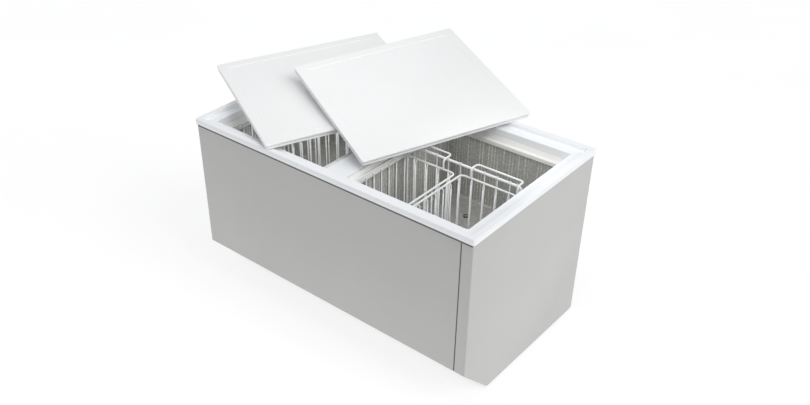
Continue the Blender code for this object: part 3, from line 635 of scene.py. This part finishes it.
def screw_head(bm, place, out, radius=0.0042):
    """A pan head with a fine raised cross, standing on a surface whose normal is out."""
    profile = [(radius, 0.0), (radius, 0.0007), (radius * 0.86, 0.0016), (radius * 0.55, 0.0022),
               (radius * 0.2, 0.0024)]
    turn = Vector((0, 0, 1)).rotation_difference(Vector(out)).to_matrix().to_4x4()
    move = Matrix.Translation(Vector(place)) @ turn
    n = 20
    rows = []
    for r, h in profile:
        rows.append([move @ p for p in circle(0.0, 0.0, r, h, n)])
    loft(bm, rows, cap_last=True)
    arm = radius * 0.55
    thin = radius * 0.12
    for a, b in ((arm, thin), (thin, arm)):
        corners = ((-a, -b), (a, -b), (a, b), (-a, b))
        bm.faces.new([bm.verts.new(move @ Vector((x, y, 0.00245))) for x, y in corners])


def build_screws():
    _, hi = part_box("back_panel")
    bm = bmesh.new()
    y = hi.y
    for x in (-0.575, -0.30, 0.0, 0.30, 0.575):
        screw_head(bm, (x, y, hi.z - 0.032), (0, 1, 0))
        screw_head(bm, (x, y, 0.022), (0, 1, 0))
    for x in (-0.575, 0.575):
        for z in (0.17, 0.34, 0.50):
            screw_head(bm, (x, y, z), (0, 1, 0))
    heads = mesh_from("back_screws", bm, "screw_steel", fix_normals=False)
    lo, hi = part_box("undercut_panel")
    bm = bmesh.new()
    out = Vector((0, -1, -1)).normalized()
    for x in (-0.56, -0.28, 0.0, 0.28, 0.56):
        for t in (0.16, 0.90):
            top = Vector((x, lo.y, hi.z - 0.0035))
            foot = Vector((x, hi.y, lo.z))
            screw_head(bm, top.lerp(foot, t) + out * 0.0003, out)
    low = mesh_from("undercut_screws", bm, "screw_steel", fix_normals=False)
    ride_all([heads, low], "cabinet")


# ----------------------------------------------------------------------------
# Rim, collars, bridge
# ----------------------------------------------------------------------------
def build_rim():
    left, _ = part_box("rim_left")
    _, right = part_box("rim_right")
    front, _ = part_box("rim_front")
    _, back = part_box("rim_back")
    x0, x1, y0, y1, top = left.x, right.x, front.y, back.y, right.z

    def arc(cx, cz, r, a0, a1, steps):
        return [(cx + r * math.cos(math.radians(a0 + (a1 - a0) * i / steps)),
                 cz + r * math.sin(math.radians(a0 + (a1 - a0) * i / steps))) for i in range(steps + 1)]

    # distance in from the outside, and height from the top: lip, groove, top, fold, seat, bead, throat
    section = [(0.0002, -0.0205), (0.0, -0.0202), (0.0, -0.0078)]
    section += [(0.0007, -0.0072), (0.0007, -0.0062), (0.0, -0.0056)]
    section += arc(0.0036, -0.0036, 0.0036, 180, 90, 6)
    section += arc(0.0200, -0.0020, 0.0020, 90, 0, 4)
    section += arc(0.0240, -0.0120, 0.0020, 180, 270, 4)
    section += [(0.0588, -0.0140), (0.0592, -0.0138), (0.0600, -0.0132)]
    section += arc(0.0640, -0.0151, 0.0020, 90, 0, 4)
    section += [(RIM_SECTION, -0.0400), (0.009, -0.0400), (0.009, -0.0205)]

    def corner(d):
        if d < 0.0045:
            return 0.0075 - d
        if d < 0.0205:
            return 0.0035
        return 0.0045 if d < 0.05 else 0.006

    def inset(d, width):
        """The seat is stretched to each side's own width; the top strip is not."""
        if d < RIM_TOP + 0.0001:
            return d
        return RIM_TOP + (d - RIM_TOP) * (width - RIM_TOP) / (RIM_SECTION - RIM_TOP)

    rows = []
    for d, z in section:
        end, near, far = (inset(d, RIM_WIDTHS[k]) for k in ("end", "front", "back"))
        rows.append(rounded_rect(x0 + end, x1 - end, y0 + near, y1 - far, corner(d), top + z))
    bm = bmesh.new()
    loft(bm, rows, closed=True)
    rim = mesh_from("rim_moulding", bm, "rim_plastic")
    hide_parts("rim_front", "rim_right", "rim_back", "rim_left")
    ride_all([rim], "cabinet")

    # a dark strip folds over the front and back panels' top edges, under the lip: painted shade, standing
    # in for the shadow under the lip's overhang
    bm = bmesh.new()
    section = [(0.0088, -0.0208), (0.0050, -0.0208), (0.0045, -0.0213),
               (0.0045, -0.0298), (0.0047, -0.0302), (0.0088, -0.0302)]
    for y, way in ((y0, 1.0), (y1, -1.0)):
        rows = []
        for x in (x0 + 0.0075, x1 - 0.0075):
            rows.append([Vector((x, y + way * d, top + z)) for d, z in section])
        loft(bm, rows, cap_first=True, cap_last=True)
    lip_shade = mesh_from("rim_lip_shade_strip", bm, "shade_strip_grey")
    ride_all([lip_shade], "cabinet")


def build_collars():
    for label in ("left", "right"):
        lo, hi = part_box("collar_" + label)
        tank_lo, tank_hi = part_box("tank_liner_" + label)
        inset = 0.0028 + 0.0015
        # opening inside the ledge, from the liner's outside
        ox0, ox1 = tank_lo.x + inset, tank_hi.x - inset
        oy0, oy1 = tank_lo.y + inset, tank_hi.y - inset
        foot, top = lo.z, hi.z
        rows = [
            (0.0022, foot, 0.004), (0.0, foot + 0.0004, 0.005), (0.0, LEDGE_Z - 0.0018, 0.005),
            (0.0006, LEDGE_Z - 0.0005, 0.005), (0.0020, LEDGE_Z, 0.006),
            (LEDGE_WIDTH - 0.0022, LEDGE_Z, 0.006), (LEDGE_WIDTH - 0.0006, LEDGE_Z + 0.0005, 0.006),
            (LEDGE_WIDTH + 0.0006, LEDGE_Z + 0.0020, 0.006),
        ]
        bm = bmesh.new()
        loops = [rounded_rect(ox0 - d, ox1 + d, oy0 - d, oy1 + d, r, z) for d, z, r in rows]
        # the throat's own outline, wider beside the bridge; the ledge leans out to it
        tx0, tx1 = (lo.x + 0.0026, hi.x - 0.0026)
        ty0, ty1 = (lo.y + 0.0026, hi.y - 0.0026)
        last_d, last_z, _ = rows[-1]
        for i in range(1, 9):
            t = i / 8
            z = last_z + (top - last_z) * t
            loops.append(rounded_rect(
                ox0 - last_d + (tx0 - ox0 + last_d) * t, ox1 + last_d + (tx1 - ox1 - last_d) * t,
                oy0 - last_d + (ty0 - oy0 + last_d) * t, oy1 + last_d + (ty1 - oy1 - last_d) * t, 0.006, z))
        loft(bm, loops)
        ob = mesh_from("collar_moulding_" + label, bm, "collar_plastic", sharp=50)
        solid = ob.modifiers.new("wall", "SOLIDIFY")
        solid.thickness = 0.0016
        up = sum(face.normal.z for face in ob.data.polygons)
        solid.offset = 1.0 if up < 0 else -1.0
        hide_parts("collar_" + label)
        ride_all([ob], "cabinet")


# ----------------------------------------------------------------------------
# Lids
# ----------------------------------------------------------------------------
def lid_matrix(label):
    place, tilt_x, tilt_y, turn = LID_PLACES[label]
    euler = Euler((math.radians(tilt_x), math.radians(tilt_y), math.radians(turn)), "ZXY")
    return Matrix.Translation(place) @ euler.to_matrix().to_4x4()


def build_lid(label):
    hx, hy = LID_HALF
    b = LID_BORDER

    def loops(rows):
        return [rounded_rect(-hx + d, hx - d, -hy + d, hy - d, r, z, 5) for d, z, r in rows]

    bm = bmesh.new()
    top = loops([
        (b + 0.0034, -0.0010, 0.004), (b + 0.0030, -0.0012, 0.004), (b + 0.0024, -0.0016, 0.004),
        (b + 0.0008, -0.0016, 0.004), (b + 0.0002, -0.0012, 0.005), (b - 0.0010, -0.0002, 0.005),
        (b - 0.0022, 0.0, 0.005), (0.0030, 0.0, 0.004), (0.0012, -0.0003, 0.005), (0.0003, -0.0012, 0.006),
        (0.0, -0.0026, 0.006), (0.0, -0.0068, 0.006), (0.0004, -0.0077, 0.006), (0.0014, -0.0080, 0.005),
        (0.0070, -0.0080, 0.004)])
    loft(bm, top, cap_first=True, cap_last=True)
    upper = mesh_from(label + "_top_skin", bm, "lid_plastic", sharp=40)
    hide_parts(label + "_frame", label + "_panel")

    bm = bmesh.new()
    under = loops([
        (0.0085, -0.0123, 0.004), (0.0062, -0.0123, 0.005), (0.0052, -0.0127, 0.006),
        (0.0018, -0.0162, 0.006), (0.0012, -0.0176, 0.006), (0.0016, -0.0194, 0.006),
        (0.0028, -0.0205, 0.006), (0.0048, -0.0210, 0.005), (0.0190, -0.0210, 0.010),
        (0.0200, -0.0206, 0.010), (0.0206, -0.0192, 0.010), (0.0290, -0.0192, 0.010),
        (0.0296, -0.0206, 0.010), (0.0306, -0.0210, 0.010)])
    loft(bm, under, cap_first=True, cap_last=True)
    lower = mesh_from(label + "_under_skin", bm, "lid_plastic", sharp=40)
    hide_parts(label + "_base")

    # the grey band round the core, seen between the two skins
    bm = bmesh.new()
    ring = loops([
        (0.0046, -0.0082, 0.005), (0.0040, -0.0086, 0.005), (0.0040, -0.0118, 0.005),
        (0.0046, -0.0122, 0.005), (0.0068, -0.0122, 0.004), (0.0068, -0.0082, 0.004)])
    loft(bm, ring, closed=True)
    band = mesh_from(label + "_edge_band", bm, "lid_band")

    for piece in (upper, lower, band):
        piece.matrix_world = lid_matrix(label)
    ride_all([upper, lower], label)
    ride_all([band], label)


# ----------------------------------------------------------------------------
# Baskets, handles and dividers
# ----------------------------------------------------------------------------
def build_basket(side, letter, body):
    name = "basket_%s_%s" % (side, letter)
    lo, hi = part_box(name)
    z_rim = hi.z - RIM_WIRE
    shoulder = z_rim - 0.010
    tx0, tx1 = lo.x + BASKET_INSET, hi.x - BASKET_INSET
    ty0, ty1 = lo.y + BASKET_INSET, hi.y - BASKET_INSET
    x_floor = lo.z + CAGE_WIRE + 0.0001
    y_floor = x_floor + 2 * CAGE_WIRE - 0.0002

    rim = rounded_rect(lo.x + RIM_WIRE, hi.x - RIM_WIRE, lo.y + RIM_WIRE, hi.y - RIM_WIRE, 0.016, z_rim, 7)
    thick = [(rim, True)]
    thin = []
    hook = 0.0045
    # across: wires in planes of constant Y
    start, step = SIDE_WIRES[letter]
    for y in [ty1 - start - step * i for i in range(int((ty1 - start - ty0 - 0.006) / step) + 1)]:
        run = [(lo.x + hook, y, z_rim - 0.0025), (tx0, y, shoulder), (tx0, y, x_floor),
               (tx1, y, x_floor), (tx1, y, shoulder), (hi.x - hook, y, z_rim - 0.0025)]
        thin.append((fillet(run, BEND, 5), False))
    # along: wires in planes of constant X, over the first ones
    start, step, count = END_WIRES[letter]
    for x in [lo.x + start + step * i for i in range(count)]:
        run = [(x, lo.y + hook, z_rim - 0.0025), (x, ty0, shoulder), (x, ty0, y_floor),
               (x, ty1, y_floor), (x, ty1, shoulder), (x, hi.y - hook, z_rim - 0.0025)]
        thin.append((fillet(run, BEND, 5), False))
    ring = wires(name + "_rim_wire", thick, RIM_WIRE, "coated_wire", 4)
    cage = wires(name + "_cage", thin, CAGE_WIRE, "coated_wire", 2)
    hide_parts(name)
    ride_all([ring, cage], body)


def build_handle(side, letter, body):
    name = "basket_%s_%s_handle" % (side, letter)
    lo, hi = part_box(name)
    _, rim_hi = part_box("basket_%s_%s" % (side, letter))
    a, b = lo.x + HANDLE_WIRE, hi.x - HANDLE_WIRE
    front = rim_hi.y - RIM_WIRE
    back = hi.y - HANDLE_WIRE
    top = hi.z - HANDLE_WIRE
    foot = rim_hi.z - RIM_WIRE
    run = [(a, front, foot), (a, front, top), (a, back, top),
           (b, back, top), (b, front, top), (b, front, foot)]
    ob = wires(name + "_wire", [(fillet(run, 0.0115, 7), False)], HANDLE_WIRE, "coated_wire", 5)
    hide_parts(name)
    ride_all([ob], body)


def build_divider(side):
    name = "divider_" + side
    lo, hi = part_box(name)
    y = (lo.y + hi.y) / 2
    top = hi.z - RAIL_WIRE
    left, right = lo.x + RAIL_WIRE, hi.x - RAIL_WIRE
    inner0, inner1 = lo.x + 0.016, hi.x - 0.017
    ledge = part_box("collar_" + side)[0].z + 0.0145 + RAIL_WIRE
    rail = [(left, y, ledge), (left, y, top), (right, y, top), (right, y, ledge)]
    grid = []
    start, step, count = DIVIDER_WIRES
    first = lo.x + start
    for x in [inner0] + [first + step * i for i in range(count)] + [inner1]:
        grid.append(([(x, y - 0.0012, lo.z + 0.003), (x, y - 0.0012, hi.z + 0.0034)], False))
    foot = [(x, y + 0.0034, lo.z + 0.004) for x in (inner0 - 0.003, inner1 + 0.003)]
    grid.append((foot, False))
    bar = wires(name + "_rail", [(fillet(rail, 0.010, 6), False)], RAIL_WIRE, "coated_wire", 4)
    mesh = wires(name + "_grid", grid, CAGE_WIRE, "coated_wire", 2)
    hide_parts(name)
    ride_all([bar, mesh], "cabinet")


# ----------------------------------------------------------------------------
# Small fittings
# ----------------------------------------------------------------------------
def build_strainers():
    """A low domed disc in each drain ring."""
    for label in ("left", "right"):
        lo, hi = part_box("drain_fitting_" + label)
        cx, cy = (lo.x + hi.x) / 2, (lo.y + hi.y) / 2
        bm = bmesh.new()
        n = 28
        profile = ((0.0070, -0.0016), (0.0070, -0.0006), (0.0060, -0.0002), (0.0002, 0.0))
        rows = [circle(cx, cy, r, hi.z + z, n) for r, z in profile]
        loft(bm, rows, cap_last=True)
        ob = mesh_from("drain_strainer_" + label, bm, "galvanised")
        ride_all([ob], "cabinet")


def build_inlet():
    """Flanged socket with three pins at the bottom of its recess."""
    lo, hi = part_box("power_inlet")
    cx, cz = (lo.x + hi.x) / 2, (lo.z + hi.z) / 2
    y0, y1 = lo.y, hi.y

    bm = bmesh.new()
    w, h = (hi.x - lo.x) / 2, (hi.z - lo.z) / 2
    # half width, half height, corner radius, and place along Y: flange, neck, recess
    profile = (
        (w, h, 0.006, y0), (w, h, 0.006, y0 + 0.003), (w - 0.001, h - 0.001, 0.006, y0 + 0.004),
        (0.0215, 0.0165, 0.004, y0 + 0.004), (0.0205, 0.0155, 0.004, y1 - 0.001),
        (0.0195, 0.0145, 0.004, y1), (0.0135, 0.0108, 0.003, y1),
        (0.0126, 0.0100, 0.003, y1 - 0.0008), (0.0125, 0.0100, 0.003, y0 + 0.0031))
    rows = [upright_rect(cx, cz, (-wx, wx, -wz, wz), r, y, 5) for wx, wz, r, y in profile]
    loft(bm, rows, cap_first=True, cap_last=True)
    body = mesh_from("power_inlet_shell", bm, "black_plastic")
    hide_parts("power_inlet")
    bm = bmesh.new()
    for x, z in ((-0.0065, -0.002), (0.0065, -0.002), (0.0, 0.0035)):
        rows = []
        for grow, y in ((0.0, y0 + 0.003), (0.0, y1 - 0.0030), (-0.0005, y1 - 0.0022)):
            sides = (-0.0010 - grow, 0.0010 + grow, -0.0022 - grow, 0.0022 + grow)
            rows.append(upright_rect(cx + x, cz + z, sides, 0.0004, y, 3))
        loft(bm, rows, cap_last=True)
    pins = mesh_from("power_inlet_pins", bm, "screw_steel")
    bm = bmesh.new()
    for x in (-0.029, 0.029):
        screw_head(bm, (cx + x, y0 + 0.004, cz), (0, 1, 0), 0.0034)
    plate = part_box("control_plate")
    for x in (plate[0].x + 0.008, plate[1].x - 0.008):
        for z in (plate[0].z + 0.008, plate[1].z - 0.008):
            screw_head(bm, (x, plate[1].y, z), (0, 1, 0), 0.0030)
    heads = mesh_from("fitting_screws", bm, "screw_steel", fix_normals=False)
    ride_all([body], "cabinet")
    ride_all([pins, heads], "cabinet")


def build_knob():
    """A ribbed knob with a pointer, and tick marks round it on the plate."""
    lo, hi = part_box("thermostat_knob")
    cx, cz = (lo.x + hi.x) / 2, KNOB_Z
    y0 = lo.y
    bm = bmesh.new()
    n = 96
    rows = []
    for r, y, rib in ((0.0190, 0.0, 0), (0.0190, 0.0022, 0), (0.0180, 0.0030, 0), (0.0158, 0.0036, 1),
                      (0.0152, 0.0135, 1), (0.0142, 0.0150, 0), (0.0120, 0.0156, 0), (0.0110, 0.0152, 0)):
        row = []
        for i in range(n):
            a = 2 * math.pi * i / n
            rr = r + (0.0006 * math.cos(24 * a) if rib else 0.0)
            row.append(Vector((cx + rr * math.cos(a), y0 + y, cz + rr * math.sin(a))))
        rows.append(row)
    loft(bm, rows, cap_first=True, cap_last=True)
    knob = mesh_from("thermostat_knob_ribbed", bm, "black_plastic", sharp=50)
    bm = bmesh.new()
    rows = []
    for grow, y in ((0.0, y0 + 0.0150), (0.0, y0 + 0.0192), (-0.0006, y0 + 0.0200)):
        sides = (-0.0024 - grow, 0.0024 + grow, -0.0135 - grow, 0.0160 + grow)
        rows.append(upright_rect(cx, cz, sides, 0.0012, y, 4))
    loft(bm, rows, cap_first=True, cap_last=True)
    grip = mesh_from("thermostat_knob_grip", bm, "black_plastic")
    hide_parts("thermostat_knob")
    bm = bmesh.new()
    line = upright_rect(cx, cz + 0.008, (-0.0006, 0.0006, -0.005, 0.006), 0.0004, y0 + 0.02005, 3)
    bm.faces.new([bm.verts.new(p) for p in line])
    mark = mesh_from("thermostat_pointer_mark", bm, "lid_plastic")
    ride_all([knob, grip, mark], "thermostat_knob")

    plate_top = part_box("control_plate")[1].y
    bm = bmesh.new()
    for i in range(11):
        a = math.radians(90 + 27 * i)
        inner, outer = 0.0215, 0.0252 if i % 5 else 0.0268
        across = Vector((-math.sin(a), 0, math.cos(a))) * (0.0005 if i % 5 else 0.0008)
        along = Vector((math.cos(a), 0, math.sin(a)))
        centre = Vector((cx, plate_top + 0.00012, cz))
        corners = ((inner, -1), (outer, -1), (outer, 1), (inner, 1))
        bm.faces.new([bm.verts.new(centre + along * far + across * way) for far, way in corners])
    ticks = mesh_from("thermostat_scale_marks", bm, "lid_plastic")
    ride_all([ticks], "cabinet")


# ----------------------------------------------------------------------------
# Studio
# ----------------------------------------------------------------------------
def soft_sun(name, azimuth, elevation, strength, spread, colour=(1.0, 1.0, 1.0)):
    """A wide soft source; azimuth 0 stands in front of the cabinet, 90 to its right."""
    data = bpy.data.lights.new(name, "SUN")
    data.energy = strength
    data.angle = math.radians(spread)
    data.color = colour
    ob = bpy.data.objects.new(name, data)
    bpy.context.scene.collection.objects.link(ob)
    az, el = math.radians(azimuth), math.radians(elevation)
    back = Vector((math.sin(az) * math.cos(el), -math.cos(az) * math.cos(el), math.sin(el)))
    ob.location = back * 5.0
    ob.rotation_euler = back.to_track_quat("Z", "Y").to_euler()


def softbox(name, place, aim, length, width, power, spread=180.0):
    """A rectangular lamp facing from place to aim, not seen by the camera."""
    data = bpy.data.lights.new(name, "AREA")
    data.shape = "RECTANGLE"
    data.size = length
    data.size_y = width
    data.energy = power
    data.spread = math.radians(spread)
    ob = bpy.data.objects.new(name, data)
    bpy.context.scene.collection.objects.link(ob)
    ob.location = place
    ob.rotation_euler = (Vector(place) - Vector(aim)).to_track_quat("Z", "Y").to_euler()
    ob.visible_camera = False


def build_studio():
    bm = bmesh.new()
    bmesh.ops.create_grid(bm, x_segments=12, y_segments=12, size=70.0)
    bmesh.ops.translate(bm, vec=(0, 0, -0.0006), verts=bm.verts)
    mesh = bpy.data.meshes.new("floor")
    bm.to_mesh(mesh)
    bm.free()
    mesh.materials.append(floor_surface())
    floor = bpy.data.objects.new("floor", mesh)
    bpy.context.scene.collection.objects.link(floor)

    world = bpy.data.worlds.new("studio")
    world.use_nodes = True
    tree = world.node_tree
    ambient = tree.nodes["Background"]
    ambient.inputs["Color"].default_value = (0.97, 0.985, 1.0, 1.0)
    ambient.inputs["Strength"].default_value = 0.44
    # the backdrop itself is plain white, as the floor is
    backdrop = tree.nodes.new("ShaderNodeBackground")
    backdrop.inputs["Color"].default_value = (1.0, 1.0, 1.0, 1.0)
    backdrop.inputs["Strength"].default_value = 1.0
    choose = tree.nodes.new("ShaderNodeMixShader")
    tree.links.new(tree.nodes.new("ShaderNodeLightPath").outputs["Is Camera Ray"], choose.inputs[0])
    tree.links.new(ambient.outputs[0], choose.inputs[1])
    tree.links.new(backdrop.outputs[0], choose.inputs[2])
    tree.links.new(choose.outputs[0], tree.nodes["World Output"].inputs["Surface"])
    bpy.context.scene.world = world

    soft_sun("side", 98.0, 36.0, 1.10, 44.0, (1.0, 0.998, 0.99))
    soft_sun("left_fill", -80.0, 20.0, 0.42, 60.0)

    # a long softbox straight above reaches into the tanks without lighting the front
    softbox("softbox", (0.10, -0.16, 1.95), (0.10, 0.05, 0.75), 1.9, 0.55, 7.0)
    # small lamps for the throats under the lids
    softbox("throat_fill_right", (0.52, -0.30, 1.22), (0.46, 0.27, 0.57), 0.36, 0.10, 0.16, 50.0)
    softbox("throat_fill_left", (-0.43, 0.02, 0.692), (-0.60, 0.02, 0.655), 0.34, 0.03, 0.09)
    # soft light from just under the throats, down into the tanks
    softbox("tank_light_right", (0.298, 0.0, 0.606), (0.298, 0.0001, 0.0), 0.42, 0.50, 0.58)
    softbox("tank_light_left", (-0.298, 0.0, 0.606), (-0.298, 0.0001, 0.0), 0.42, 0.50, 0.78)
    scene = bpy.context.scene
    scene.view_settings.view_transform = "Standard"
    scene.view_settings.look = "None"


def main():
    make_camera()
    paint_cad_nodes()
    build_skins()
    build_louvre_hoods()
    build_screws()
    build_rim()
    build_collars()
    for label in LID_PLACES:
        build_lid(label)
    for side in ("left", "right"):
        for letter in ("a", "b"):
            name = "basket_%s_%s" % (side, letter)
            body = name if name in frame["bodies"] else "cabinet"
            build_basket(side, letter, body)
            build_handle(side, letter, body)
        build_divider(side)
    build_strainers()
    build_inlet()
    build_knob()
    build_studio()


main()
